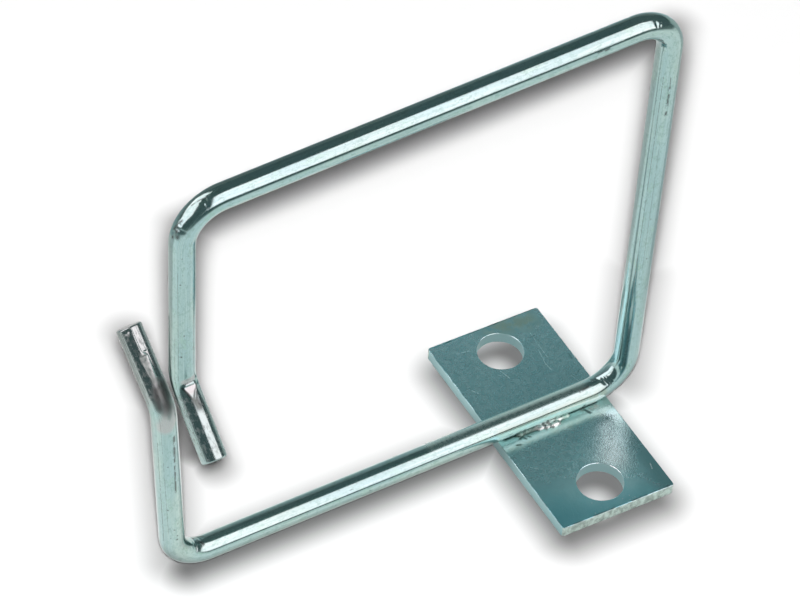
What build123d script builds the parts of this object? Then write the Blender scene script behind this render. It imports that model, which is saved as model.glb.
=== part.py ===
from build123d import *

import os
from math import cos, radians, sin, tan

# Cable management ring: an open rectangular ring of round steel wire, welded
# upright across a small flat plate that two screws hold. Millimetres and degrees.
# Origin: midway between the two screw holes, on the back face of the plate.
# +Z leaves the back face through the plate, +X runs along the ring's bars towards
# the corner that stands over the plate, +Y runs along the plate.

# Mounting plate, a short length of flat bar whose ends were sheared a little out of square
plate_width = 20.0
plate_thickness = 2.0
plate_corner_radius = 0.5
plate_edge_round = 0.1
hole_diameter = 7.5
hole_spacing = 30.0
hole_edge_break = 0.05
end_margin = 1.8
end_skew = 1.0

# Ring wire, with its runs measured from corner to corner along the centreline
wire_diameter = 4.0
corner_radius = 6.5
bottom_bar_length = 80.2
right_leg_length = 81.2
top_bar_length = 81.6
upper_leg_length = 36.2
lower_leg_length = 37.1

# How far the bent ring has sprung out of square
right_leg_lean = 0.3
top_bar_slope = 1.9
upper_leg_lean = 2.4
lower_leg_lean = 4.95

# The two free ends, kinked out of the ring's plane so that they pass each other
kink_angle = 49.0
kink_radius = 5.0
tip_length = 13.0
tip_edge_break = 0.15

# How the ring sits on the plate
corner_overhang = 3.4
bar_offset = 0.3
bar_sink = 0.2

# Weld between bar and plate
nugget_radius = 1.5
nugget_length = 10.0
nugget_inset = 11.8
nugget_depth = 0.6
# Beads of squeezed-out metal in front of the bar:
# place along the nugget, distance in front of the bar's centreline, radius
weld_beads = [
    (-4.3, 1.6, 0.55),
    (-2.6, 1.9, 0.65),
    (-0.9, 1.8, 0.60),
    (0.5, 2.1, 0.80),
    (1.9, 2.3, 1.00),
    (3.4, 1.9, 0.70),
]

plate_length = hole_spacing + hole_diameter + 2 * end_margin
bar_height = plate_thickness - bar_sink + wire_diameter / 2
right_corner_x = plate_width / 2 + corner_overhang
front, back = -1, 1


def step(start, run, angle):
    """Point at the end of a run in the ring's plane, angle counted from +X towards +Z."""
    return start + Vector(run * cos(radians(angle)), 0, run * sin(radians(angle)))


def kinked_end(kink, leg_start, side):
    """Cut end of the wire, turned from the leg's line towards the given side."""
    along_leg = (kink - leg_start).normalized()
    turn = radians(kink_angle)
    return kink + tip_length * (cos(turn) * along_leg + sin(turn) * Vector(0, side, 0))


def ring_path():
    """Centreline of the wire, from the front end round the ring to the back end."""
    bottom_right = Vector(right_corner_x, bar_offset, bar_height)
    bottom_left = step(bottom_right, bottom_bar_length, 180)
    top_right = step(bottom_right, right_leg_length, 90 + right_leg_lean)
    top_left = step(top_right, top_bar_length, 180 + top_bar_slope)
    upper_kink = step(top_left, upper_leg_length, -90 + upper_leg_lean)
    lower_kink = step(bottom_left, lower_leg_length, 90 + lower_leg_lean)
    front_end = kinked_end(upper_kink, top_left, front)
    back_end = kinked_end(lower_kink, bottom_left, back)
    corners = [top_left, top_right, bottom_right, bottom_left]
    radii = [kink_radius] + [corner_radius] * len(corners) + [kink_radius]
    return FilletPolyline(front_end, upper_kink, *corners, lower_kink, back_end, radius=radii)


def make_wire_ring():
    """The bent wire, cut square at both ends with the burr broken."""
    path = ring_path()
    section = Plane(origin=path @ 0, z_dir=path % 0) * Circle(wire_diameter / 2)
    wire = sweep(section, path=path)
    rims = [face.outer_wire().edges() for face in wire.faces().filter_by(GeomType.PLANE)]
    return chamfer([edge for rim in rims for edge in rim], tip_edge_break)


def make_plate_blank():
    """Flat bar with rounded corners and softened edges, and the two screw holes."""
    half_width = plate_width / 2
    end = plate_length / 2
    skew = half_width * tan(radians(end_skew))
    outline = Polygon(
        (-half_width, -end + skew),
        (half_width, -end - skew),
        (half_width, end - skew),
        (-half_width, end + skew),
        align=None,
    )
    outline = fillet(outline.vertices(), plate_corner_radius)
    holes = GridLocations(0, hole_spacing, 1, 2) * Circle(hole_diameter / 2)
    blank = extrude(outline - holes, plate_thickness)
    hole_rims = [edge for face in flat_faces(blank) for rim in face.inner_wires() for edge in rim.edges()]
    blank = chamfer(hole_rims, hole_edge_break)
    outer_rims = [edge for face in flat_faces(blank) for edge in face.outer_wire().edges()]
    return fillet(outer_rims, plate_edge_round)


def flat_faces(blank):
    """The back and the front face of the plate."""
    ordered = blank.faces().sort_by(Axis.Z)
    return [ordered[0], ordered[-1]]


def make_weld(wire_ring):
    """Fused metal under the bar, squeezed out in beads at the front and a low seam at the back."""
    centre = Vector(plate_width / 2 - nugget_inset, bar_offset, plate_thickness)
    half = nugget_length / 2 - nugget_radius
    line = Plane(origin=centre - Vector(half, 0, 0), z_dir=(1, 0, 0))
    nugget = extrude(line * Circle(nugget_radius), 2 * half)
    nugget += Pos(*(centre - Vector(half, 0, 0))) * Sphere(nugget_radius)
    nugget += Pos(*(centre + Vector(half, 0, 0))) * Sphere(nugget_radius)
    nugget = split(nugget, Plane.XY.offset(plate_thickness - nugget_depth), keep=Keep.TOP)
    for along, out, radius in weld_beads:
        bead = Pos(*(centre + Vector(along, -out, 0))) * Sphere(radius)
        nugget += split(bead, Plane.XY.offset(plate_thickness), keep=Keep.TOP)
    return nugget - wire_ring


wire_ring = make_wire_ring()
weld = make_weld(wire_ring)
mounting_plate = make_plate_blank() - wire_ring - weld

pieces = {
    "wire_ring": wire_ring,
    "mounting_plate": mounting_plate,
    "weld": weld,
}

os.makedirs("parts", exist_ok=True)
for name, piece in pieces.items():
    piece.label = name
    export_step(piece, f"parts/{name}.step")
    size = piece.bounding_box().size
    print(f"{name}: {piece.volume:.1f} mm3, {size.X:.1f} x {size.Y:.1f} x {size.Z:.1f} mm")
print(f"wire cut length {ring_path().length:.1f} mm, bar centre {bar_height:.1f} mm above the back face")
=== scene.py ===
# %% [markdown]
# # A zinc-plated cable management ring
# The part is one piece of welded steel: a round wire bent to an open square, standing across a
# small flat plate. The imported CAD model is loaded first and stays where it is. Everything below
# is made in the same frame, in metres: the origin lies midway between the two screw holes on the
# plate's back, and +Z leaves the plate towards the ring.

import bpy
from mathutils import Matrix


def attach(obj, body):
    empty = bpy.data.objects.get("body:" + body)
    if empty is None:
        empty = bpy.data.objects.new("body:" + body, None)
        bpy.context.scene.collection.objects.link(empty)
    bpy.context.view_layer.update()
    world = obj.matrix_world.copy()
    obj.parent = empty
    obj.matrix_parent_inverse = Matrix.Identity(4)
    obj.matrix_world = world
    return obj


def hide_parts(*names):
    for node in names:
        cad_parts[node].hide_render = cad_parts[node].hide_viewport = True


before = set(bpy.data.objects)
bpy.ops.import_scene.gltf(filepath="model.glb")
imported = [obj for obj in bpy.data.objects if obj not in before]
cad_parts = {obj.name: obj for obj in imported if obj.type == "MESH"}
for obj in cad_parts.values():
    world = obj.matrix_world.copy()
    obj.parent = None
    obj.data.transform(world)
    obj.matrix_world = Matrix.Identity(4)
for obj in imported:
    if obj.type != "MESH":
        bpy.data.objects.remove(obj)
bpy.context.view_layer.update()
print("nodes:", sorted(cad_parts))

# %% Tools that the lesson needs
from math import acos, cos, pi, radians, sin, tan

import bmesh
import bpy
import numpy as np
from mathutils import Matrix, Vector, noise

scene = bpy.context.scene
mm = 0.001
print("Blender", bpy.app.version_string)

# %% [markdown]
# ## Camera
# A product photograph like this one is taken from far away with a long lens, so that parallel
# edges stay nearly parallel. The camera could be aimed with a tracking constraint, but the
# picture is also rolled a few degrees, so its three axes are written down and put into a matrix.

# %% Long lens, slightly rolled
camera_place = Vector((-338.5, -447.5, 650.1)) * mm
picture_right = Vector((0.86142, -0.50356, 0.06620))
picture_up = Vector((0.33837, 0.66620, 0.66459))
picture_back = picture_right.cross(picture_up)

lens = bpy.data.cameras.new("long_lens")
lens.lens, lens.sensor_width = 247.4, 36.0
lens.clip_start, lens.clip_end = 0.05, 20.0
camera = bpy.data.objects.new("camera", lens)
axes = Matrix((picture_right, picture_up, picture_back)).transposed()
camera.matrix_world = Matrix.Translation(camera_place) @ axes.to_4x4()
scene.collection.objects.link(camera)
scene.camera = camera
scene.view_settings.view_transform = "Standard"
print(f"camera {camera_place.length:.2f} m from the plate, lens {lens.lens:.0f} mm")

# %% [markdown]
# ## A way to write materials
# Blender's materials are graphs of nodes. Wiring them by hand hides the idea behind them, so one
# small class wraps a node's output. Python's own signs then add Math nodes, and every other node
# comes from one method that takes its type, its settings and its sockets.


# %% One class for all node graphs
class Value:
    """A node's output that can be added, multiplied and passed on."""

    def __init__(self, tree, output=None):
        self.tree = tree
        self.output = output

    def node(self, kind, settings=(), sockets=(), out=0):
        """Adds a node: its settings first, then what its sockets hold or are linked to."""
        made = self.tree.nodes.new(kind)
        for name, setting in dict(settings).items():
            setattr(made, name, setting)
        for name, given in dict(sockets).items():
            if isinstance(given, Value):
                self.tree.links.new(given.output, made.inputs[name])
            else:
                made.inputs[name].default_value = given
        return Value(self.tree, made.outputs[out])

    def maths(self, operation, *numbers):
        """Any operation of the Math node."""
        return self.node("ShaderNodeMath", {"operation": operation}, enumerate(numbers))

    def __add__(self, other):
        return self.maths("ADD", self, other)

    def __sub__(self, other):
        return self.maths("SUBTRACT", self, other)

    def __rsub__(self, other):
        return self.maths("SUBTRACT", other, self)

    def __mul__(self, other):
        return self.maths("MULTIPLY", self, other)

    __radd__, __rmul__ = __add__, __mul__

    def beyond(self, limit):
        """How far this number lies outside plus or minus the limit."""
        outside = self.maths("ABSOLUTE", self) - limit
        return self.maths("MAXIMUM", outside, 0)

    def rise(self, low, high):
        """0 below low, 1 above high and smooth between them. It falls where low is above high."""
        if low > high:
            return 1 - self.rise(high, low)
        limits = {"Value": self, "From Min": low, "From Max": high}
        return self.node("ShaderNodeMapRange", {"interpolation_type": "SMOOTHSTEP"}, limits)

    def blend(self, colour_at_0, colour_at_1):
        """A colour between two others, with this value as the share of the second."""
        ends = {0: self, 6: as_colour(colour_at_0), 7: as_colour(colour_at_1)}
        return self.node("ShaderNodeMix", {"data_type": "RGBA"}, ends, out=2)

    def stretched(self, x, y, z):
        """A vector with each part multiplied by its own number."""
        return self.vector("MULTIPLY", self, (x, y, z))

    def part(self, axis):
        """One of the three numbers of a vector."""
        return self.node("ShaderNodeSeparateXYZ", {}, {0: self}, out=axis)

    def vector(self, operation, *given, out=0):
        """Any operation of the Vector Math node."""
        settings = {"operation": operation}
        return self.node("ShaderNodeVectorMath", settings, enumerate(given), out=out)

    def scratch(self, begin, end, width):
        """1 on the line between two points, given in mm, and 0 at half its width from it."""
        begin, end = Vector(begin) * mm, Vector(end) * mm
        run = end - begin
        here = self.vector("SUBTRACT", self, tuple(begin))
        share = here.vector("DOT_PRODUCT", here, tuple(run / run.length_squared), out="Value")
        share = share.maths("MINIMUM", share.maths("MAXIMUM", share, 0), 1)
        scaled = {0: tuple(run), "Scale": share}
        nearest = here.node("ShaderNodeVectorMath", {"operation": "SCALE"}, scaled)
        gap = here.vector("DISTANCE", here, nearest, out="Value")
        return gap.rise(width / 2 * mm, 0)

    def cloud(self, size, detail=3.0, roughness=0.55, distortion=0.0):
        """Noise from 0 to 1 over this vector, with patches of about the given size."""
        shape = {"Vector": self, "Scale": 1 / size, "Detail": detail}
        shape |= {"Roughness": roughness, "Distortion": distortion}
        return self.node("ShaderNodeTexNoise", {}, shape)


def as_colour(colour):
    """A colour as a socket takes it, with its alpha."""
    return colour if isinstance(colour, Value) else (*colour, 1)


def finish_named(name):
    """A new material whose graph is empty but for its output."""
    made = bpy.data.materials.new(name)
    made.use_nodes = True
    made.node_tree.nodes.clear()
    made.node_tree.nodes.new("ShaderNodeOutputMaterial")
    return made, Value(made.node_tree)


def show(tree, shader):
    """Links a shader to the graph's output."""
    output = next(node for node in tree.nodes if node.type.startswith("OUTPUT"))
    tree.links.new(shader.output, output.inputs["Surface"])


print("signs that add Math nodes: + - *")

# %% [markdown]
# ## Studio
# Bright plating has no look of its own: it shows what stands around it. The legs of the ring show
# a white table, the bars show a dark room with a large softbox, and where each begins decides the
# picture. A picture of a real studio round the part would light it too, but its softboxes couldn't
# be moved one by one. So the room is built from cards: one softbox above the viewer's right
# shoulder, one low on the left, and behind the part a pale wall and a low card, which fades
# upwards. The table comes later, with the shadow, because that needs the ring's place.

# %% Softboxes
softbox_distance = 1.5
softbox_light = 2.25
softbox_colour = (1.0, 0.83, 0.87)


def make_card(name, centre, side, rise, width, height):
    """A flat card that only reflections see."""
    mesh = bpy.data.meshes.new(name)
    half_side, half_rise = side * width / 2, rise * height / 2
    corners = [centre - half_side - half_rise, centre + half_side - half_rise]
    corners += [centre + half_side + half_rise, centre - half_side + half_rise]
    mesh.from_pydata([tuple(corner) for corner in corners], [], [(0, 1, 2, 3)])
    card = bpy.data.objects.new(name, mesh)
    scene.collection.objects.link(card)
    card.visible_camera = False
    card.visible_diffuse = False
    card.visible_shadow = False
    return card


def glow(name, strength, colour=(1, 1, 1)):
    """A material that only shines."""
    material, start = finish_named(name)
    shine = start.node("ShaderNodeEmission", {}, {"Color": (*colour, 1), "Strength": strength})
    show(material.node_tree, shine)
    return material


def towards(azimuth, elevation):
    """Direction in the room. Azimuth 0 is behind the part, 90 on its right."""
    a, e = radians(azimuth), radians(elevation)
    return Vector((sin(a) * cos(e), cos(a) * cos(e), sin(e)))


def make_softbox(name, facing, side, width, height):
    """A softbox whose width and height are given at a distance of 1 m."""
    side = (side - side.dot(facing) * facing).normalized()
    away = softbox_distance
    card = make_card(name, facing * away, side, facing.cross(side), width * away, height * away)
    card.data.materials.append(glow(name + "_light", softbox_light, softbox_colour))
    print(name, "centre", tuple(round(c, 2) for c in facing * away))


right_facing = towards(152.3, 41.5)
right_side = Vector((0.943, 0.244, -0.224))
make_softbox("right_softbox", right_facing, right_side, width=1.17, height=1.29)

left_azimuth, left_elevation, left_roll = -58, 29, radians(-17)
left_facing = towards(left_azimuth, left_elevation)
level = Vector((cos(radians(left_azimuth)), -sin(radians(left_azimuth)), 0))
left_side = level * cos(left_roll) + left_facing.cross(level) * sin(left_roll)
make_softbox("left_softbox", left_facing, left_side, width=1.66, height=1.12)

# %% Pale wall behind the part
to_the_right, upright = Vector((1, 0, 0)), Vector((0, 0, 1))
wall_centre, wall_side = towards(22, 4) * 1.4, towards(112, 0)
wall = make_card("pale_wall", wall_centre, wall_side, upright, width=1.9, height=1.15)
wall.data.materials.append(glow("pale_wall_light", 0.22, (0.9, 1.0, 0.98)))
print("pale wall centre", tuple(round(c, 2) for c in wall_centre))

# %% Low card behind the part
low_card_centre = Vector((-20, 100, 53.5)) * mm
low_card_colour, black = (0.85, 1.0, 1.03), (0, 0, 0)
brightest, dimmest, fade_height = 0.50, 0.08, 120 * mm
low_card = make_card("low_card", low_card_centre, to_the_right, upright, width=0.36, height=0.105)

low_glow, start = finish_named("low_card_light")
place = start.node("ShaderNodeTexCoord", out="Object")
fading = (1 - place.part("Z") * (1 / fade_height)) * brightest + dimmest
fading = fading * (place.part("X").rise(5 * mm, 35 * mm) * 0.6 + 0.9)
card_colour = fading.blend(black, low_card_colour)
shine = start.node("ShaderNodeEmission", {}, {"Color": card_colour, "Strength": 1.0})
show(low_glow.node_tree, shine)
low_card.data.materials.append(low_glow)
print("low card fades out", round(fade_height / mm), "mm above the table")

# %% The room
room_shade = (0.097, 0.137, 0.141)
room_light = (0.02, 0.02, 0.02)
white = (1, 1, 1)
room = bpy.data.worlds.new("room")
room.use_nodes = True
room.node_tree.nodes.clear()
room.node_tree.nodes.new("ShaderNodeOutputWorld")
start = Value(room.node_tree)
seen_directly = start.node("ShaderNodeLightPath", out="Is Camera Ray")
mirrored = start.node("ShaderNodeLightPath", out="Is Glossy Ray")
walls = seen_directly.blend(mirrored.blend(room_light, room_shade), white)
show(room.node_tree, start.node("ShaderNodeBackground", {}, {"Color": walls, "Strength": 1.0}))
scene.world = room
print("the metal mirrors a room of", room_shade)

# %% [markdown]
# ## Bending the wire
# The ring is one round wire, so the mesh is made as a bender would make it: straight runs and
# arcs are laid end to end, and rings of points are set along them. A bevelled curve would do the
# same, but here every point also needs to know how far along the wire and on which side of it it
# lies, because drawing marks and tool marks follow the wire round its bends.

# %% Sizes of the ring
wire_radius = 1.99 * mm
bend_radius = 6.5 * mm
kink_radius = 5.0 * mm
bottom_bar = 80.2 * mm
right_leg = 81.2 * mm
top_bar = 81.6 * mm
upper_leg = 36.2 * mm
lower_leg = 37.1 * mm
tip = 13.0 * mm
kink_angle = radians(49)
right_leg_way, top_bar_way, upper_leg_way, lower_leg_way = 90.3, 181.9, -87.6, 94.95


def further(begin, run, way):
    """The point at the end of a run in the ring's plane, its way counted from +X towards +Z."""
    return begin + run * np.array([cos(radians(way)), 0, sin(radians(way))])


def bent_end(kink, leg_start, side):
    """The cut end of the wire, turned away from its leg."""
    along = (kink - leg_start) / np.linalg.norm(kink - leg_start)
    return kink + tip * (cos(kink_angle) * along + sin(kink_angle) * np.array([0, side, 0]))


bottom_right = np.array([13.4, 0.3, 3.8]) * mm
bottom_left = further(bottom_right, bottom_bar, 180)
top_right = further(bottom_right, right_leg, right_leg_way)
top_left = further(top_right, top_bar, top_bar_way)
upper_kink = further(top_left, upper_leg, upper_leg_way)
lower_kink = further(bottom_left, lower_leg, lower_leg_way)
front_end = bent_end(upper_kink, top_left, -1)
back_end = bent_end(lower_kink, bottom_left, 1)
corners = [front_end, upper_kink, top_left, top_right]
corners += [bottom_right, bottom_left, lower_kink, back_end]
radii = [kink_radius, bend_radius, bend_radius, bend_radius, bend_radius, kink_radius]
print("corners in mm:", [(corner / mm).round(1).tolist() for corner in corners])

# %% Straight runs and arcs
rounding = 1e-9


def turned(axis, angle):
    """The matrix of a turn round an axis."""
    return np.array(Matrix.Rotation(angle, 3, Vector(axis)))


def unit(vector):
    """The same direction, made one long."""
    return vector / np.linalg.norm(vector)


def lay_wire():
    """Each run or arc as (start, end, kind, data, axes at its start), measured along the wire."""
    runs, here, along = [], corners[0], 0.0
    first = unit(corners[1] - corners[0])
    sideways = unit(np.cross(first, unit(corners[2] - corners[1])))
    axes = np.stack([first, np.cross(sideways, first), sideways], 1)
    for before, corner, after, radius in zip(corners, corners[1:], corners[2:], radii):
        coming, going = unit(corner - before), unit(after - corner)
        angle = acos(coming @ going)
        cut = radius * tan(angle / 2)
        bend_start = corner - cut * coming
        length = np.linalg.norm(bend_start - here)
        runs.append((along, along + length, "run", here, axes))
        along += length
        axis = unit(np.cross(coming, going))
        centre = bend_start + radius * np.cross(axis, coming)
        runs.append((along, along + angle * radius, "arc", (centre, bend_start, axis, radius), axes))
        along += angle * radius
        axes = turned(axis, angle) @ axes
        here = corner + cut * going
    runs.append((along, along + np.linalg.norm(corners[-1] - here), "run", here, axes))
    return runs


def wire_at(along):
    """Centre of the wire and its axes (along it, to its front, to its side) at one place."""
    for begin, end, kind, data, axes in wire_runs:
        if along <= end + rounding:
            break
    if kind == "run":
        return data + (along - begin) * axes[:, 0], axes
    centre, bend_start, axis, radius = data
    turn = turned(axis, (along - begin) / radius)
    return centre + turn @ (bend_start - centre), turn @ axes


wire_runs = lay_wire()
wire_length = wire_runs[-1][1]
print(f"wire {wire_length / mm:.1f} mm long in {len(wire_runs)} runs and arcs")

# %% [markdown]
# ## Tool marks
# The bends were made cold over hard steel jaws, and each jaw edge left its print: a notch in the
# hollow of the front kink, a long flat with a step on the back tip, and small crumpled bites in
# the corners. Such prints could be painted as bump, but they change the wire's outline and the
# way it mirrors the softbox, so they are pressed into the mesh. Metal is only ever pushed in.
# Every mark has a place along the wire and an angle round it: 0 is the ring's front, 90 its
# inside and -90 its outside.

# %% Where the mesh is fine, and where it may be coarse
coarse_step, bend_step, mark_step = 1.2 * mm, 0.35 * mm, 0.13 * mm
marked = [(7.6, 14.6), (43.6, 52.0), (121.6, 127.2)]
marked += [(202.6, 209.8), (278.0, 285.6), (318.0, 331.0)]
around = 120
rim_break = 0.15 * mm
fine_end = 1.0 * mm


def step_at(place):
    """How far the next ring of points may be, at one place along the wire."""
    if any(low * mm <= place <= high * mm for low, high in marked):
        return mark_step
    if min(place, wire_length - place) < fine_end:
        return mark_step
    kind = next(run[2] for run in wire_runs if place <= run[1] + rounding)
    return bend_step if kind == "arc" else coarse_step


ring_places = [0.0, rim_break]
while ring_places[-1] < wire_length - rim_break:
    here = ring_places[-1]
    ahead = [low * mm for low, high in marked if low * mm > here]
    nearest_mark = min(ahead + [wire_length - fine_end])
    stride = step_at(here)
    if here < nearest_mark < here + stride:
        stride = max(nearest_mark - here, mark_step)
    ring_places.append(here + stride)
ring_places = [place for place in ring_places if place < wire_length - 1.5 * rim_break]
ring_places += [wire_length - rim_break, wire_length]
along = np.array(ring_places)[:, None]
angle = np.linspace(0, 2 * pi, around, endpoint=False)[None, :]
print(len(ring_places), "rings of", around, "points")

# %% Ways to press the metal in
widest_flat = 0.2


def angle_from(side):
    """Angle round the wire, counted from one side, between -pi and pi."""
    return (angle - radians(side) + pi) % (2 * pi) - pi


def flat(side, stop, places, depths):
    """A flat pressed by a jaw: its depth in mm at places along the wire, straight between them.

    It faces the given side, and ends at an angle of stop past that.
    """
    depth = np.interp(along, np.array(places) * mm, np.array(depths) * mm, left=0, right=0)
    turn = angle_from(side)
    pressed = (np.cos(turn) > widest_flat) & (turn < radians(stop))
    facing = np.maximum(np.cos(turn), widest_flat)
    return np.where(pressed, np.maximum(wire_radius - (wire_radius - depth) / facing, 0), 0)


def bite(place, side, length, width, depth, lean=0.0):
    """A short dent in mm, which may lean across the wire."""
    across = angle_from(side) * wire_radius / mm
    run = (along / mm - place) - lean * across
    return depth * mm * np.exp(-((run / length) ** 2) - (across / width) ** 2)


print(f"a flat reaches at most {acos(widest_flat) * 180 / pi:.0f} degrees to each side")

# %% Every mark on the wire
# Flats: side, stop, places, depths
flats = [
    (0, 90, [9.5, 12.1, 12.5], [0.0, 0.25, 0.0]),
    (52, 90, [8.2, 11.4, 13.2], [0.0, 0.16, 0.0]),
    (-5, 90, [321.9, 326.05, 326.2], [0.0, 0.13, 0.0]),
    (15, 4, [326.6, 326.9, 330.6, 331.0], [0.0, 0.14, 0.14, 0.14]),
]
# Bites: place, side, length, width, depth, lean
bites = [
    (13.0, 6, 0.90, 1.10, 0.18, 0.0),
    (330.3, -30, 0.40, 0.45, 0.13, 0.0),
    (45.6, -66, 0.22, 0.75, 0.06, 0.15),
    (46.1, -78, 0.20, 0.35, 0.04, -0.3),
    (44.8, -92, 0.18, 0.25, 0.05, 0.2),
    (50.05, -66, 0.24, 0.65, 0.09, -0.2),
    (50.6, -82, 0.20, 0.30, 0.05, 0.4),
    (49.6, -74, 0.15, 0.25, 0.05, 0.5),
    (123.35, -46, 0.22, 0.40, 0.07, 0.2),
    (123.9, -40, 0.18, 0.22, 0.05, -0.3),
    (122.2, -72, 0.50, 0.20, 0.03, 0.0),
    (125.9, 38, 0.90, 0.14, 0.07, 0.1),
    (205.0, 56, 0.16, 0.90, 0.035, 0.1),
    (205.6, 60, 0.14, 0.90, 0.035, 0.1),
    (206.2, 64, 0.15, 0.90, 0.035, 0.1),
    (207.2, 80, 0.30, 0.70, 0.04, 0.2),
    (208.7, 104, 0.25, 0.60, 0.05, 0.1),
    (281.2, 66, 0.30, 1.30, 0.07, -0.05),
    (279.4, 100, 0.30, 0.50, 0.05, 0.0),
]
press = np.zeros((len(ring_places), around))
for mark in flats:
    press = np.maximum(press, flat(*mark))
for mark in bites:
    press = np.maximum(press, bite(*mark))
print(f"deepest mark {press.max() / mm:.2f} mm")

# %% [markdown]
# ## The wire's mesh
# The rings are closed at both ends by smaller rings and one middle point, as a sheared end is:
# nearly flat, with its rim broken. Each point keeps its place on the straight wire, as if it had
# never been bent. The finish reads that place, so that its streaks run round the bends.

# %% Points, faces and end caps
cap_girths = [0.25, 0.55, 0.80]


def ring_points(place, radii_round):
    """A ring of points round the bent wire."""
    centre, axes = wire_at(place)
    sides = np.cos(angle[0])[:, None] * axes[:, 1] + np.sin(angle[0])[:, None] * axes[:, 2]
    return centre + radii_round[:, None] * sides


def straight_points(place, radii_round):
    """The same ring on the wire before it was bent."""
    x, y = radii_round * np.cos(angle[0]), radii_round * np.sin(angle[0])
    return np.stack([x, y, np.full(around, place)], 1)


radii_round = wire_radius - press
radii_round[[0, -1]] -= rim_break
rings = [(0.0, radii_round[0] * girth) for girth in cap_girths]
rings += list(zip(ring_places, radii_round))
rings += [(wire_length, radii_round[-1] * girth) for girth in reversed(cap_girths)]

points = np.concatenate([ring_points(*ring) for ring in rings])
drawn = np.concatenate([straight_points(*ring) for ring in rings])
poles = [wire_at(0.0)[0], wire_at(wire_length)[0]]
points = np.concatenate([points, poles])
drawn = np.concatenate([drawn, [[0, 0, 0], [0, 0, wire_length]]])

index = np.arange(len(rings) * around).reshape(len(rings), around)
beside = np.roll(index, -1, axis=1)
quads = np.stack([index[:-1], index[1:], beside[1:], beside[:-1]], -1).reshape(-1, 4).tolist()
first_pole = len(rings) * around
fans = [(first_pole, a, b) for a, b in zip(index[0], beside[0])]
fans += [(first_pole + 1, b, a) for a, b in zip(index[-1], beside[-1])]

mesh = bpy.data.meshes.new("bent_wire")
mesh.from_pydata(points.tolist(), [], quads + fans)
straight = mesh.attributes.new("drawn", "FLOAT_VECTOR", "POINT")
straight.data.foreach_set("vector", drawn.ravel())
mesh.shade_smooth()
bent_wire = bpy.data.objects.new("bent_wire", mesh)
scene.collection.objects.link(bent_wire)
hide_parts("wire_ring")
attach(bent_wire, "root")
print("wire mesh:", len(mesh.polygons), "faces")

# %% [markdown]
# ## Table and shadow
# The table keeps the part's shadow. It is a matt white sheet, and each lamp over it gives a share
# of its white. In the photograph a deep soft shade follows the part's outline everywhere, even in
# the screw holes. Lamps alone can't draw it: the low bottom bar hides its own shadow. So the lamps
# draw what they can, and painted shade makes the sheet greyer close under the plate and the bottom
# bar, at the feet of the legs, between the two tips and where the wire's shadow falls, and a little
# less grey in the screw holes.

# %% Where the lamps' shadows fall
table_size = 6.0
table_drop = 0.05 * mm
table_matt = 0.80
lamp_degrees_up = 1.0


def above_camera(degrees_up):
    """The camera's place, swung some degrees up round the part."""
    return Matrix.Rotation(-radians(degrees_up), 3, picture_right) @ camera_place


def fall_on_table(point):
    """Where a point of the ring throws its shadow, in mm."""
    lamp, point = above_camera(lamp_degrees_up), Vector(point)
    return (lamp + (point - lamp) * lamp.z / (lamp.z - point.z)) / mm


shadow_stops = [fall_on_table(point) for point in corners]
print("the top bar's shadow lies", round(shadow_stops[3].y), "mm behind the bar")

# %% Table
half = table_size / 2
table_corners = [(-half, -half), (half, -half), (half, half), (-half, half)]
mesh = bpy.data.meshes.new("table")
mesh.from_pydata([(x, y, -table_drop) for x, y in table_corners], [], [(0, 1, 2, 3)])
table = bpy.data.objects.new("table", mesh)
scene.collection.objects.link(table)
print("table", table_size, "m wide,", table_drop / mm, "mm under the part")

# %% Shade on the table
shade_depth = 0.82
wire_shade, wire_shade_width = 0.50, 13.0
low_leg_shade, low_leg_width, low_leg_height = 0.50, 15.5, 25.0
tips_shade, tips_shade_width = 0.72, 11.0
lighter_in_holes = 0.60
half_spacing = 15.0


def strongest(masks):
    """The strongest of several masks."""
    together = masks[0]
    for mask in masks[1:]:
        together = together.maths("MAXIMUM", together, mask)
    return together


def contact_shade(x, y, centre, half_size, reach):
    """1 on a rectangle on the table, falling to 0 at the given reach from it, all in mm."""
    past_side = (x - centre[0] * mm).beyond(half_size[0] * mm)
    past_end = (y - centre[1] * mm).beyond(half_size[1] * mm)
    distance = past_side.maths("SQRT", past_side * past_side + past_end * past_end)
    return distance.rise(reach * mm, 0)


sheet, start = finish_named("white_table")
for_gloss = start.node("ShaderNodeLightPath", out="Is Glossy Ray")
place = start.node("ShaderNodeTexCoord", out="Object")
right, behind = place.part("X"), place.part("Y")
under_plate = contact_shade(right, behind, centre=(-1.0, -2.2), half_size=(7.6, 18.1), reach=8.2)
under_bar = contact_shade(right, behind, centre=(-27.5, 0.6), half_size=(36.5, 0), reach=7.2)
runs_below = list(zip(shadow_stops, shadow_stops[1:]))
under_wire = strongest([place.scratch(*ends, wire_shade_width) for ends in runs_below])
right_foot = Vector(bottom_right) + Vector((0, 0, low_leg_height)) * mm
low_legs = [
    (fall_on_table(bottom_left), fall_on_table(lower_kink)),
    (fall_on_table(bottom_right), fall_on_table(right_foot)),
]
under_legs = strongest([place.scratch(*ends, low_leg_width) for ends in low_legs])
between_tips = place.scratch((-52.0, 27.5, 0), (-52.6, 20.5, 0), tips_shade_width)
shade = strongest(
    [
        under_plate * shade_depth,
        under_bar * shade_depth,
        under_wire * wire_shade,
        under_legs * low_leg_shade,
        between_tips * tips_shade,
    ]
)
seen_through = [(-1.9, hole - 2.1) for hole in (-half_spacing, half_spacing)]
in_holes = [contact_shade(right, behind, spot, half_size=(0.2, 0.2), reach=4.4) for spot in seen_through]
in_holes = strongest(in_holes)
shade = shade * (1 - in_holes * lighter_in_holes)
# painted shadow: the shade masks darken the table's matt white
table_colour = shade.blend((table_matt, table_matt, table_matt), black)
matt = start.node("ShaderNodeBsdfDiffuse", {}, {"Color": table_colour})
print("shade under", len(runs_below), "runs of wire, the plate and the bottom bar")
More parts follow.
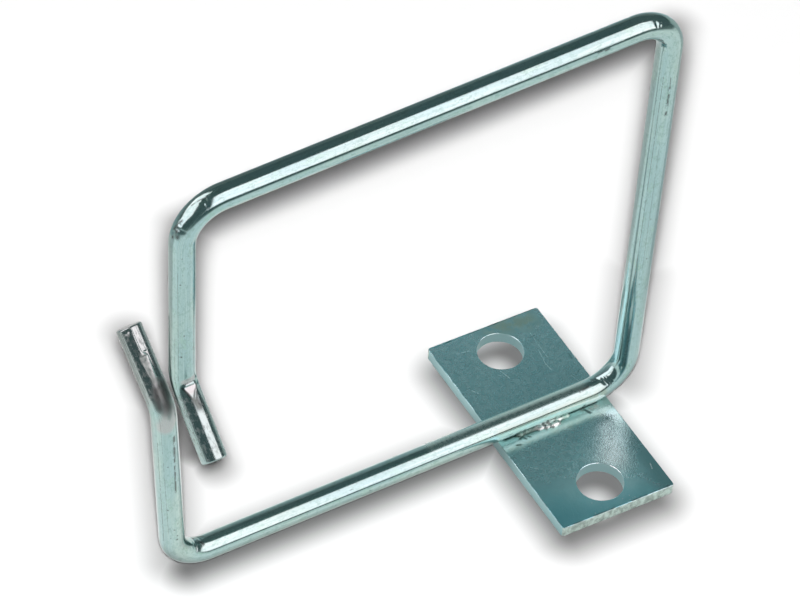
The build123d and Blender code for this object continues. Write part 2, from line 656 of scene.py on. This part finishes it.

# %% [markdown]
# In reflections the table is white near the part, with painted shade close to the bottom bar, under
# the plate and behind, a little pink on the left, and it fades further out. Only rays from the metal
# see this, as a glow of the table's own that lights nothing else. The same shades could be painted
# on the zinc, but there they would stay fixed, while a mirrored table moves with the view.

# %% The table as the metal sees it
bright_to, dark_from = 0.22, 0.50
far_table, right_table, pink_gain = (0.15, 0.19, 0.19), (0.50, 0.55, 0.55), (1.14, 1.10, 1.09)
bar_dims, wall_dims, plate_dims = 0.50, 0.38, 0.38


def tell(title, material):
    """Prints how many nodes a material has so far."""
    print(title + ":", len(material.node_tree.nodes), "nodes")


away = place.vector("LENGTH", place, out="Value")
lit_table = away.rise(bright_to, dark_from).blend(white, far_table)
# painted shade in the glow: darker near the bar, behind, on the right and round the plate
near_bar = contact_shade(right, behind, centre=(-25, 0.3), half_size=(42, 0), reach=10)
far_behind = behind.rise(14 * mm, 34 * mm)
lit_table = strongest([near_bar * bar_dims, far_behind * wall_dims]).blend(lit_table, black)
far_right = right.rise(20 * mm, 50 * mm) * behind.rise(-30 * mm, -5 * mm)
lit_table = far_right.blend(lit_table, right_table)
near_plate = contact_shade(right, behind, centre=(0, 0), half_size=(10, 20.5), reach=1.5) - in_holes
near_plate = near_plate.maths("MAXIMUM", near_plate, 0)
lit_table = (near_plate * plate_dims).blend(lit_table, black)
pink_side = right.rise(5 * mm, -8 * mm) * behind.rise(-28 * mm, -10 * mm)
lit_table = lit_table.vector("MULTIPLY", lit_table, pink_side.blend(white, pink_gain))
mirrored = start.node("ShaderNodeEmission", {}, {"Color": lit_table, "Strength": 1.0})
show(sheet.node_tree, start.node("ShaderNodeMixShader", {}, {0: for_gloss, 1: matt, 2: mirrored}))
table.data.materials.append(sheet)
tell("table material", sheet)

# %% [markdown]
# Two lamps stand just above the camera, so that the shadow of the high top bar and of the legs
# stays close under them, as in the photograph. A very wide one overhead softens the rest. One lamp
# alone would draw one of these and lose the others. None of them shows in the metal, which mirrors
# the softboxes only.


# %% Lamps for the shadow
def place_lamp(name, light, place):
    """Hangs a lamp, turned towards the part and unseen in reflections."""
    lamp = bpy.data.objects.new(name, light)
    lamp.location = place
    lamp.rotation_euler = place.to_track_quat("Z", "Y").to_euler()
    lamp.visible_glossy = False
    scene.collection.objects.link(lamp)


def near_camera(name, share, degrees_up, width):
    """A round lamp some degrees above the camera, as bright on the far table as on the near."""
    place = above_camera(degrees_up)
    light = bpy.data.lights.new(name, "POINT")
    light.shadow_soft_size = place.length * tan(radians(width) / 2)
    light.energy = share * 4 * pi**2 * place.length / (table_matt * place.z)
    light.use_nodes = True
    start = Value(light.node_tree)
    even = start.node("ShaderNodeLightFalloff", {}, {"Strength": 1.0}, out="Constant")
    shine = next(node for node in light.node_tree.nodes if node.type == "EMISSION")
    light.node_tree.links.new(even.output, shine.inputs["Strength"])
    place_lamp(name, light, place)
    print(name, f"{place.length:.2f} m away")


def wide_lamp(name, share, direction, width):
    """A very wide far lamp."""
    light = bpy.data.lights.new(name, "SUN")
    light.angle = radians(width)
    light.energy = share * pi / (table_matt * direction.z)
    place_lamp(name, light, direction * 2)
    print(name, width, "degrees wide")


near_camera("top_bar_shadow", share=0.78, degrees_up=lamp_degrees_up, width=2.6)
near_camera("leg_shadow", share=0.20, degrees_up=2.2, width=5.0)
wide_lamp("overhead_shade", share=0.07, direction=towards(-143, 80), width=70)

# %% [markdown]
# ## Finish of the wire
# Zinc with a clear blue passivation mirrors its surroundings with a green-blue tint. Drawing the
# wire left streaks along it. The jaws that bent the ends rubbed the passivation off, so the tips
# are grey and speckled, with bare patches beside the kinks, and painted shade darkens the back tip
# where the wires cross. The weld's heat left a haze on the bottom bar and scorched its lower edge;
# the haze's lighter tint is partly painted sheen. Painted shade also outlines the notch in the front
# kink and a crease in the bottom-left bend, and some thin dark lines along the legs and tips are
# painted reflections of dark edges. A plain metallic shader with one colour would miss all that.
# Each mark is placed on the straight wire, as if it had never been bent: by its place along it and
# the angle round it.

# %% Zinc tints and the marks on the wire
zinc_green = (0.445, 0.605, 0.560)
zinc_blue = (0.375, 0.555, 0.555)
streak_tints = [(0.28, 0.43, 0.42), (0.24, 0.38, 0.37), (0.52, 0.68, 0.64)]
blotch_tints = [(0.27, 0.43, 0.40), (0.33, 0.52, 0.44), (0.17, 0.27, 0.25)]
tip_grey, pore_dark = (0.390, 0.460, 0.445), (0.16, 0.19, 0.18)
bare_steel = (0.450, 0.480, 0.470)
notch_shade_dark, wedge_dark, crossing_shade_dark = (0.075, 0.09, 0.088), (0.21, 0.26, 0.24), (0.10, 0.105, 0.102)
scorch_tint, haze_tint = (0.33, 0.43, 0.35), (0.60, 0.72, 0.66)
grime_and_shade_dark = (0.070, 0.090, 0.085)

# Lines: place and angle where each begins and ends, width. Most are scratches and dirt.
dark_lines = [
    (138.3, 10, 144.2, 12, 0.70),
    (136.2, 12, 138.3, 10, 0.22),
    (313.0, 16, 308.0, 11, 0.80),
    (308.0, 11, 300.0, 6, 0.60),
    (124.2, 36, 127.8, 44, 0.56),
    (113.4, -14, 114.8, -18, 0.42),
    (114.8, -12, 115.4, -14, 0.56),
    # Painted shade over the crease in the bottom-left bend
    (278.2, 112, 281.2, 128, 0.70),
    (279.2, 70, 281.0, 104, 1.40),
    (45.0, -96, 46.6, -80, 0.70),
    (48.6, -96, 50.4, -84, 0.31),
    (209.6, 76, 211.6, 70, 0.84),
    # Long thin lines along the wire: partly scratches, partly painted reflections of dark edges
    (0.5, -62, 24.0, -60, 0.12),
    (0.5, -50, 14.0, -49, 0.10),
    (0.5, 44, 9.0, 43, 0.10),
    (14.0, -44, 38.0, -47, 0.10),
    (16.0, 52, 42.0, 50, 0.14),
    (17.0, 24, 33.0, 26, 0.09),
    (288.0, -64, 312.0, -62, 0.14),
    (290.0, -38, 318.0, -42, 0.09),
    (288.0, 40, 314.0, 37, 0.16),
    (132.0, -50, 166.0, -53, 0.12),
    (136.0, 44, 190.0, 47, 0.12),
    (150.0, 20, 178.0, 18, 0.08),
    (321.0, -62, 330.5, -60, 0.14),
    (319.0, -74, 330.5, -73, 0.14),
    (52.0, -30, 118.0, -26, 0.10),
    (212.0, -34, 276.0, -30, 0.10),
]
# Specks: place, angle, width
specks = [
    (19.6, -32, 0.54),
    (20.8, 28, 0.46),
    (24.3, -20, 0.38),
    (27.5, 30, 0.35),
    (288.5, -2, 0.54),
    (289.4, 0, 0.38),
    (283.0, -30, 0.46),
    (296.0, -34, 0.41),
    (176.0, 4, 0.35),
    (159.0, -30, 0.32),
    (103.5, -20, 0.35),
    (250.0, 8, 0.32),
    (232.0, -6, 0.35),
    (44.6, -62, 1.10),
    (45.2, -76, 0.90),
    (44.2, -84, 0.70),
    (291.0, -12, 0.36),
    (292.2, 6, 0.30),
    (306.5, -22, 0.34),
    (35.5, -36, 0.40),
    (34.0, 24, 0.32),
    (146.0, -24, 0.34),
    (167.0, 12, 0.30),
    (183.0, -14, 0.34),
]
# Patches and painted shades, written as lines
bare_patches = [
    (13.4, -12, 13.6, 20, 2.6),
    (11.2, -4, 11.4, 4, 3.2),
    (315.9, -18, 317.4, 14, 4.6),
]
# Painted shade round the notch in the front kink, written as lines
notch_shades = [
    (12.1, -36, 9.6, -9, 0.55),
    (11.9, 38, 9.6, -5, 0.55),
    (10.4, -20, 9.3, -8, 0.5),
    (10.4, 20, 9.2, 4, 0.7),
    (9.1, 4, 8.4, 8, 2.6),
]
dull_wedges = [(9.5, -6, 8.3, 4, 1.1), (326.0, -9, 322.4, -8, 1.5)]
# Painted shade where the back tip passes the upper leg
crossing_shades = [(318.9, 4, 321.0, 20, 4.4), (318.7, -26, 320.8, -14, 2.4)]
scorch = (207.5, 20, 226.5, 20, 2.8)
haze = (211.0, 102, 238.0, 102, 3.4)
print(len(dark_lines), "dark lines and", len(specks), "specks on the wire")


# %% Marks on the straight wire
skin_radius = 2


def on_wire(place, turn):
    """A point on the skin of the straight wire, in mm."""
    return skin_radius * cos(radians(turn)), skin_radius * sin(radians(turn)), place


def line_on_wire(spot, mark):
    """One mark from a list, as a mask."""
    begin, begin_angle, end, end_angle, width = mark
    return spot.scratch(on_wire(begin, begin_angle), on_wire(end, end_angle), width)


def marks_on_wire(spot, marks):
    """All marks of a list in one mask."""
    return strongest([line_on_wire(spot, mark) for mark in marks])


print(f"half a turn round the wire is {pi * skin_radius:.1f} mm")

# %% Drawn zinc
wire_finish, start = finish_named("drawn_zinc")
spot = start.node("ShaderNodeAttribute", {"attribute_name": "drawn"}, out="Vector")
patches = spot.stretched(1, 1, 0.22).cloud(4 * mm, 3).rise(0.32, 0.60)
bands = spot.stretched(1, 1, 0.04).cloud(1.3 * mm, 2)
streaks = spot.stretched(1, 1, 0.03).cloud(0.30 * mm, 4, 0.6)
hairs = spot.stretched(1, 1, 0.012).cloud(0.16 * mm, 2)
tint = patches.blend(zinc_green, zinc_blue)
tint = (bands.rise(0.35, 0.70) * 0.40).blend(tint, streak_tints[0])
tint = (streaks.rise(0.30, 0.80) * 0.34).blend(tint, streak_tints[1])
tint = (hairs.rise(0.55, 0.75) * 0.36).blend(tint, streak_tints[2])
tell("streaks", wire_finish)

# %% Blotches and veins in the passivation
mottle = spot.stretched(1, 1, 0.5).cloud(0.55 * mm, 5, 0.7)
blotches = spot.stretched(1, 1, 0.4).cloud(1.6 * mm, 4, 0.65)
tint = (mottle.rise(0.50, 0.62) * 0.52).blend(tint, blotch_tints[0])
tint = (blotches.rise(0.54, 0.66) * 0.42).blend(tint, blotch_tints[1])
veins = (spot.stretched(1, 1, 0.45).cloud(0.9 * mm, 4, 0.65) - 0.5).beyond(0).rise(0.014, 0)
tint = (veins * blotches.rise(0.42, 0.60) * 0.5).blend(tint, blotch_tints[2])
tell("with blotches and veins", wire_finish)

# %% Grey, speckled tips
along_wire = spot.part("Z")
back_tip = along_wire.rise(317.8 * mm, 320.5 * mm)
front_tip = along_wire.rise(11.2 * mm, 9.8 * mm)
tips = back_tip.maths("MAXIMUM", back_tip, front_tip)
pores = spot.stretched(1, 1, 0.5).cloud(0.45 * mm, 4, 0.65)
tint = (back_tip * 0.95 + front_tip * 0.45).blend(tint, tip_grey)
tint = (tips * pores.rise(0.52, 0.62) * 0.35).blend(tint, pore_dark)
tell("with grey tips", wire_finish)

# %% Bare patches, painted shade, scratches and specks
ragged = spot.cloud(0.9 * mm, 4, 0.65)
bare = marks_on_wire(spot, bare_patches)
bare = (bare + (ragged - 0.5) * 0.6 * bare).rise(-0.05, 0.7)
tint = (bare * 0.85).blend(tint, bare_steel)
# painted shade that outlines the notch's facet
edges = marks_on_wire(spot, notch_shades) * ragged.rise(0.0, 0.4)
tint = (edges * 0.95).blend(tint, notch_shade_dark)
dull = marks_on_wire(spot, dull_wedges) * ragged.rise(0.0, 0.5)
tint = (dull * 0.8).blend(tint, wedge_dark)
scorched = line_on_wire(spot, scorch) * ragged.rise(0.15, 0.55)
tint = (scorched * 0.75).blend(tint, scorch_tint)
# heat haze: rougher, and lighter in tint, which is partly painted sheen on the dark band
hazed = line_on_wire(spot, haze) * ragged.rise(0.10, 0.60)
tint = (hazed * 0.6).blend(tint, haze_tint)
# painted shade where the wires cross
crossing_shade = marks_on_wire(spot, crossing_shades) * ragged.rise(-0.2, 0.4)
tint = (crossing_shade * 0.82).blend(tint, crossing_shade_dark)
lines = marks_on_wire(spot, dark_lines) * ragged.rise(0.38, 0.50)
dots = marks_on_wire(spot, [(s, turn, s + 0.05, turn, width) for s, turn, width in specks])
dust = spot.stretched(1, 1, 0.6).cloud(0.40 * mm, 2).rise(0.715, 0.75) * patches.rise(0.2, 0.8)
# dirt and scratches, with painted shade and painted reflections among the lines
grime_and_shade = strongest([lines, dots, dust * 0.6])
tint = (grime_and_shade * 0.85).blend(tint, grime_and_shade_dark)
tell("with all marks", wire_finish)

# %% Sheen of the wire
rough = streaks * 0.10 + hairs.rise(0.60, 0.75) * 0.12 + 0.09
rough = rough + hazed * 0.20
rough = rough + tips * pores.rise(0.45, 0.65) * 0.22
rough = rough + bare * 0.14 + crossing_shade * 0.4 + edges * 0.1
rough = rough + dull * 0.25 + grime_and_shade * 0.2
relief = streaks * 0.6 + hairs * 0.3 + mottle * 0.5 + tips * pores * 0.8 - grime_and_shade * 1.5
bump = start.node("ShaderNodeBump", {}, {"Strength": 0.22, "Distance": 0.02 * mm, "Height": relief})
zinc = {"Base Color": tint, "Metallic": 1.0, "Roughness": rough, "Normal": bump}
show(wire_finish.node_tree, start.node("ShaderNodeBsdfPrincipled", {}, zinc))
bent_wire.data.materials.append(wire_finish)
tell("wire finish", wire_finish)

# %% [markdown]
# ## Finish of the plate
# The plate was rolled and sheared. Its zinc is matt, but the clear skin on it is glossy, so the
# plate is a mix of a rough teal metal and a smooth pale one that mirrors the bar and the leg with
# soft edges. One metallic layer could be matt or glossy, never both. The skin is cloudy, and a
# painted sheen makes it brighter and glossier where it mirrors the leg. The heat turned the zinc
# green along the bar and brown at one spot, and a stain lies near the far end. Thin dark lines in
# places along the rims and in the crease along the weld are painted shade. Handling left a few
# fine scratches, which are drawn one by one where the photograph has them, with noise for all
# smaller ones. The sheared ends are rough.

# %% Zinc tints and the marks on the plate
plate_light, plate_deep = (0.320, 0.920, 0.960), (0.240, 0.820, 0.880)
plate_blotch = (0.22, 0.62, 0.60)
end_shade, corner_shade = (0.10, 0.42, 0.47), (0.08, 0.32, 0.34)
stain_tint = (0.36, 0.52, 0.34)
heat_green, heat_brown = (0.350, 0.540, 0.420), (0.560, 0.520, 0.440)
scratch_light, scratch_and_shade_dark = (0.80, 1.00, 1.00), (0.05, 0.09, 0.08)
side_tint = (0.280, 0.485, 0.495)
torn_light, torn_dark = (0.560, 0.700, 0.640), (0.270, 0.350, 0.310)
skin_share = 0.70
skin_tint, skin_shade, skin_sheen = (0.84, 1.0, 1.0), (0.50, 0.70, 0.73), (0.95, 1.0, 1.0)

# Lines on the plate's face: x and y in mm where each begins and ends, width
light_scratches = [
    (-6.5, 17.6, -4.4, 17.3, 0.30),
    (5.5, 12.3, 5.0, 9.6, 0.30),
    (5.0, 9.6, 5.2, 8.0, 0.40),
    (-2.1, 11.4, -1.6, 9.6, 0.35),
    (-2.9, 10.9, -2.2, 10.2, 0.25),
    (6.2, 16.2, 6.0, 10.6, 0.20),
    (-8.2, 10.0, -7.6, 9.0, 0.35),
    (-8.1, -7.6, -6.8, -8.8, 0.30),
    (8.6, -16.4, 8.9, -15.4, 0.35),
    (7.4, 5.6, 7.8, 4.2, 0.25),
]
dark_plate_lines = [
    (5.6, 15.3, 6.7, 15.4, 0.25),
    (9.4, 9.6, 9.3, 8.4, 0.35),
    (9.2, 6.2, 8.6, 5.6, 0.22),
    (5.5, -1.1, 6.2, -2.5, 0.32),
    (-8.8, 14.5, -8.2, 13.2, 0.20),
    # Along the weld, where bar and plate meet: painted shade in the crease and pits
    (-6.6, -1.9, -5.5, -1.5, 1.00),
    (-6.3, -1.5, -5.7, -2.3, 0.70),
    (-5.2, -2.0, -4.9, -2.3, 0.60),
    (-7.7, -2.8, -7.1, -3.0, 0.80),
    (5.4, -1.3, 5.9, -2.4, 0.60),
    (-5.2, -1.5, -3.0, -1.5, 1.50),
    (0.8, -1.6, 2.6, -1.4, 0.90),
    (-8.6, -0.9, -1.0, -0.9, 1.60),
    (-1.0, -0.9, 8.0, -0.9, 0.90),
]
# Painted dark lines along the rims, as painted shade on their edges
rim_dark_lines = [
    (-9.9, 20.4, 9.8, 20.3, 0.50),
    (-9.95, 20.0, -9.95, 2.4, 0.30),
    (-9.95, -2.0, -9.95, -20.0, 0.24),
    (9.95, 20.0, 9.95, 2.0, 0.30),
    (-9.8, -20.35, 9.8, -20.6, 0.50),
]
stain_mark = (1.6, 19.6, 7.0, 18.6, 7.0)
brown_mark = (5.4, -1.0, 7.6, -1.7, 2.4)
sheen_patch_mark = (9.2, -5.0, 4.4, -11.8, 10.0)
print(len(light_scratches), "light and", len(dark_plate_lines), "dark lines on the plate")

# %% Marks on the face of the plate
face_height = 2


def line_on_plate(place, mark):
    """One mark from a list, as a mask."""
    begin_x, begin_y, end_x, end_y, width = mark
    return place.scratch((begin_x, begin_y, face_height), (end_x, end_y, face_height), width)


def marks_on_plate(place, marks):
    """All marks of a list in one mask."""
    return strongest([line_on_plate(place, mark) for mark in marks])


print("the plate's face lies", face_height, "mm above its back")

# %% Rolled zinc
plate_finish, start = finish_named("rolled_zinc")
place = start.node("ShaderNodeTexCoord", out="Object")
along_plate, along_bar = place.part("Y"), place.part("X")
tint = place.cloud(7 * mm, 2).rise(0.3, 0.7).blend(plate_light, plate_deep)
tint = (place.cloud(1.5 * mm, 4).rise(0.45, 0.62) * 0.18).blend(tint, plate_blotch)
shaded_end = (along_plate + along_bar * 0.4).rise(-13 * mm, -22 * mm)
tint = (shaded_end * 0.9).blend(tint, end_shade)
shaded_corner = along_bar.rise(5.5 * mm, 9 * mm) * along_plate.rise(-3 * mm, -8 * mm)
tint = (shaded_corner * 0.9).blend(tint, corner_shade)
tell("rolled zinc", plate_finish)

# %% Stain, heat tints, scratches and painted shade
stain = line_on_plate(place, stain_mark) * place.cloud(2 * mm, 3).rise(0.25, 0.6)
tint = (stain * 0.8).blend(tint, stain_tint)
heat = (along_plate - 0.1 * mm).beyond(0) + (place.cloud(1.6 * mm, 3) - 0.5) * 2.2 * mm
heat = heat.rise(4.2 * mm, 2.8 * mm)
tint = (heat * 0.8).blend(tint, heat_green)
brown = line_on_plate(place, brown_mark) * place.cloud(0.8 * mm, 3).rise(0.35, 0.6)
tint = (brown * 0.8).blend(tint, heat_brown)
light_marks = marks_on_plate(place, light_scratches) * place.cloud(0.5 * mm, 2).rise(0.3, 0.55)
dark_rims = marks_on_plate(place, rim_dark_lines) * place.cloud(1.3 * mm, 4).rise(0.42, 0.58)
# dark scratches, with painted shade along the rims and in the weld's crease
dark_marks_and_shade = strongest([marks_on_plate(place, dark_plate_lines), dark_rims])
nicks = place.cloud(0.45 * mm, 2).rise(0.66, 0.72) * place.cloud(5 * mm, 2).rise(0.45, 0.65)
tint = ((light_marks + nicks * 0.35) * 0.8).blend(tint, scratch_light)
tint = (dark_marks_and_shade * 0.9).blend(tint, scratch_and_shade_dark)
tell("with stain and scratches", plate_finish)

# %% Edges of the plate
end_of_face = 20.05 * mm
below_face = place.part("Z").rise(1.97 * mm, 1.88 * mm)
tint = below_face.blend(tint, side_tint)
sheared = along_plate.beyond(end_of_face).rise(0, 0.15 * mm) * below_face
torn = place.stretched(0.6, 1, 0.5).cloud(0.5 * mm, 4, 0.65)
tint = sheared.blend(tint, torn.rise(0.35, 0.65).blend(torn_dark, torn_light))
tell("with sheared ends", plate_finish)

# %% Sheen of the plate
across_light = along_bar * 0.89 - along_plate * 0.45
along_light = along_bar * 0.45 + along_plate * 0.89
combed = start.node("ShaderNodeCombineXYZ", {}, {0: across_light, 1: along_light * 0.35, 2: 0.0})
grain = combed.cloud(0.26 * mm, 3)
ripple = place.cloud(1.6 * mm, 2)
rough = grain * 0.10 + 0.42 + brown * 0.2
no_skin = [below_face * 0.9, sheared * 0.9, stain * 0.3, light_marks * 0.8, shaded_end * 0.72]
no_skin += [shaded_corner * 0.35, heat * 0.25, dark_marks_and_shade, brown * 0.7]
# painted sheen: the skin is brighter and glossier where the plate mirrors the leg
sheen_patch = line_on_plate(place, sheen_patch_mark)
skin = (1 - strongest(no_skin)) * (skin_share + sheen_patch * (1 - skin_share))
relief = grain + ripple + light_marks * 0.2 - dark_marks_and_shade * 0.3 + sheared * torn * 1.5
bump = start.node("ShaderNodeBump", {}, {"Strength": 0.95, "Distance": 0.03 * mm, "Height": relief})
zinc = {"Base Color": tint, "Metallic": 1.0, "Roughness": rough, "Normal": bump}
matt = start.node("ShaderNodeBsdfPrincipled", {}, zinc)
tell("matt zinc", plate_finish)

# %% Clear skin on the plate
cloudy = place.cloud(0.8 * mm, 5, 0.7).rise(0.40, 0.62)
tint = (cloudy * 0.6).blend(skin_tint, skin_shade)
tint = sheen_patch.blend(tint, skin_sheen)
gloss = {"Base Color": tint, "Metallic": 1.0, "Roughness": 0.21 - sheen_patch * 0.09, "Normal": bump}
shiny = start.node("ShaderNodeBsdfPrincipled", {}, gloss)
metal = start.node("ShaderNodeMixShader", {}, {0: skin, 1: matt, 2: shiny})
show(plate_finish.node_tree, metal)
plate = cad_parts["mounting_plate"]
plate.data.materials.clear()
plate.data.materials.append(plate_finish)
tell("plate finish", plate_finish)

# %% [markdown]
# ## The weld
# The bar was fused to the plate by a short resistance weld, which squeezed metal out in lumps at
# the front and a low seam at the back. Lumps flow into each other, so egg-shaped bodies are set
# in a row, merged by a voxel remesh, and then roughened with noise. A sculpted mesh would look
# the same, but this one follows the sizes of the CAD nugget. Its beads are flatter than the CAD
# beads and drawn out along the bar, as the photograph shows them.

# %% Lumps of squeezed-out metal
weld_middle = Vector((-1.8, 0.3, 2.0))
seam_places = np.arange(-4.3, 4.4, 0.6)
# Half length, half width and half height of a lump, and how far the seam's edges lie out
core_lump, front_lump = (0.7, 1.42, 1.0), (0.75, 0.55, 0.46)
back_edge, front_edge = 1.35, -1.40
# Beads: place along the seam, distance in front of the bar's middle, radius, stretch
beads = [
    (-4.2, 1.50, 0.30, 2.00),
    (-2.8, 1.50, 0.32, 2.00),
    (-0.9, 1.80, 0.44, 1.60),
    (0.1, 2.05, 0.42, 1.40),
    (1.6, 2.20, 0.60, 1.90),
    (3.4, 1.40, 0.28, 2.00),
]
weld_voxel = 0.10 * mm
body = bmesh.new()


def add_lump(x, y, z, half_length, half_width, half_height):
    """An egg-shaped body, placed from the middle of the weld, all in mm."""
    place = Matrix.Translation((weld_middle + Vector((x, y, z))) * mm)
    size = Matrix.Diagonal((half_length * mm, half_width * mm, half_height * mm, 1))
    bmesh.ops.create_icosphere(body, subdivisions=3, radius=1.0, matrix=place @ size)


for x in seam_places:
    wave = noise.noise((x, 0.3, 0))
    add_lump(x, -0.1, -0.1, *core_lump)
    add_lump(x, back_edge + 0.25 * wave, 0, 0.55, 0.45 + 0.1 * wave, 0.30)
    add_lump(x, front_edge + 0.1 * wave, 0, *front_lump)
for x, out, radius, stretch in beads:
    add_lump(x, -out, 0, radius * stretch, radius, radius * 0.9)
    add_lump(x, -0.6 * out, 0, radius * 1.2, radius, radius)

# %% The lumps flow into each other
weld_mesh = bpy.data.meshes.new("weld_lumps")
body.to_mesh(weld_mesh)
body.free()
weld_lumps = bpy.data.objects.new("weld_lumps", weld_mesh)
scene.collection.objects.link(weld_lumps)
merge = weld_lumps.modifiers.new("merge", "REMESH")
merge.mode = "VOXEL"
merge.voxel_size = weld_voxel
soften = weld_lumps.modifiers.new("soften", "SMOOTH")
soften.factor, soften.iterations = 0.5, 6
ready = weld_lumps.evaluated_get(bpy.context.evaluated_depsgraph_get())
weld_mesh = bpy.data.meshes.new_from_object(ready)
weld_lumps.modifiers.clear()
weld_lumps.data = weld_mesh
print("merged", 3 * len(seam_places) + 2 * len(beads), "lumps")

# %% Pits and folds in the weld
sunk, fold_depth, pit_depth = 0.02, 0.03, 0.20
for vertex in weld_mesh.vertices:
    at = vertex.co / mm
    fold = noise.fractal(at * 1.3, 1.0, 2.0, 3)
    pit = max(0.0, noise.noise(at * 1.1 + Vector((3.7, 0, 0))) - 0.2)
    vertex.co -= vertex.normal * (sunk + fold_depth * abs(fold) + pit_depth * pit) * mm
weld_mesh.shade_smooth()
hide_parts("weld")
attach(weld_lumps, "root")
print("weld:", len(weld_mesh.polygons), "faces")

# %% Scorched zinc on the weld
scorched_green, clean_green = (0.24, 0.44, 0.37), (0.44, 0.64, 0.56)
bead_bright, pit_shade_dark = (0.92, 0.98, 0.95), (0.06, 0.10, 0.09)

weld_finish, start = finish_named("scorched_zinc")
place = start.node("ShaderNodeTexCoord", out="Object")
tint = place.cloud(1.4 * mm, 4).rise(0.35, 0.60).blend(scorched_green, clean_green)
# near-white beads: bright spatter, partly a painted highlight
bright_beads = place.scratch((-2.9, -1.7, 2.3), (0.7, -2.0, 2.4), 2.8)
tint = (bright_beads * 0.9).blend(tint, bead_bright)
# painted shade in the weld's pits and in the hollow by the bar
pit_shade = place.cloud(0.7 * mm, 4, 0.6).rise(0.50, 0.60)
pit_shade = pit_shade * place.part("X").rise(2.5 * mm, -1.5 * mm)
hollow = place.scratch((-6.2, -1.8, 2.2), (-3.2, -1.6, 2.3), 2.0)
pit_shade = strongest([pit_shade, hollow * place.cloud(0.5 * mm, 3).rise(0.25, 0.5)])
tint = (pit_shade * 0.85).blend(tint, pit_shade_dark)
rough = place.cloud(0.5 * mm, 3) * 0.2 + 0.36 - bright_beads * 0.12 + pit_shade * 0.2
relief = place.cloud(0.3 * mm, 3)
bump = start.node("ShaderNodeBump", {}, {"Strength": 0.25, "Distance": 0.04 * mm, "Height": relief})
zinc = {"Base Color": tint, "Metallic": 0.95, "Roughness": rough, "Normal": bump}
show(weld_finish.node_tree, start.node("ShaderNodeBsdfPrincipled", {}, zinc))
weld_mesh.materials.clear()
weld_mesh.materials.append(weld_finish)
tell("weld finish", weld_finish)
